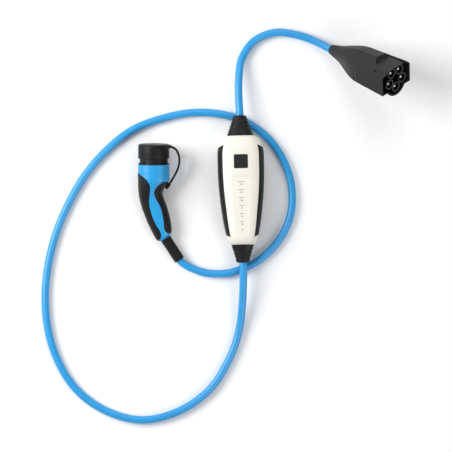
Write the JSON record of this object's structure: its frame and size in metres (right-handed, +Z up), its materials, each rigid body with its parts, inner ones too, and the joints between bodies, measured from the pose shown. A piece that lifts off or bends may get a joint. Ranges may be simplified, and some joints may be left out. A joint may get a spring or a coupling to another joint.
{
  "type": "portable EV charger",
  "caption": "Portable charging cable for electric cars: a cream control box on a blue cable, a capped pistol-grip vehicle connector and a multi-pin supply plug.",
  "frame": {"origin": "bottom centre of the control box with its boots", "axes": "+Y along the box towards its upper boot, +Z up from the floor, out of the box's front"},
  "size_m": [0.7652, 0.8088, 0.164],
  "materials": {
    "cream_shell": "satin cream",
    "black_rubber": "soft matte",
    "pad_gloss": "gloss",
    "board": "solder mask",
    "steel": "bright",
    "relay_blue": "satin",
    "dark_plastic": "satin",
    "brass": "plain",
    "supply_yellow": "taped",
    "light_lens": "clear white",
    "blue_shell": "satin blue",
    "blue_cable": "satin blue",
    "nose_black": "satin",
    "plug_grey": "fine grain",
    "contact_silver": "silver plate"
  },
  "bodies": {
    "charger": {"front_shell": "cream_shell", "back_shell": "cream_shell", "shell_seal": "black_rubber", "left_grip": "black_rubber", "right_grip": "black_rubber", "top_boot": "black_rubber", "bottom_boot": "black_rubber", "back_grip": "black_rubber", "finger_grip": "black_rubber", "nose_seal": "black_rubber", "cap_tether": "black_rubber", "connector_boot": "black_rubber", "plug_tail": "black_rubber", "touch_pad": "pad_gloss", "main_board": "board", "indicator_board": "board", "board_screws": "steel", "shell_screws": "steel", "plug_screws": "steel", "plug_clamp": "steel", "power_relays": "relay_blue", "current_sensor": "dark_plastic", "top_clamp": "dark_plastic", "bottom_clamp": "dark_plastic", "contact_retainer": "dark_plastic", "connector_clamp": "dark_plastic", "mains_terminals": "brass", "vehicle_terminals": "brass", "power_supply": "supply_yellow", "indicator_lights": "light_lens", "handle_shell": "blue_shell", "long_cord": "blue_cable", "short_cord": "blue_cable", "nose": "nose_black", "plug_insert": "nose_black", "plug_shell": "plug_grey", "plug_cover": "plug_grey", "power_contacts": "contact_silver", "signal_contacts": "contact_silver", "plug_pins": "contact_silver"},
    "pull_cap": {"cap": "nose_black"}
  },
  "joints": [
    {"name": "cap_pull", "type": "slide", "parent": "charger", "child": "pull_cap", "axis": [0.0225, 0.9923, 0.1219], "range_m": [0, 0.03], "deforming": ["cap_tether"]}
  ]
}
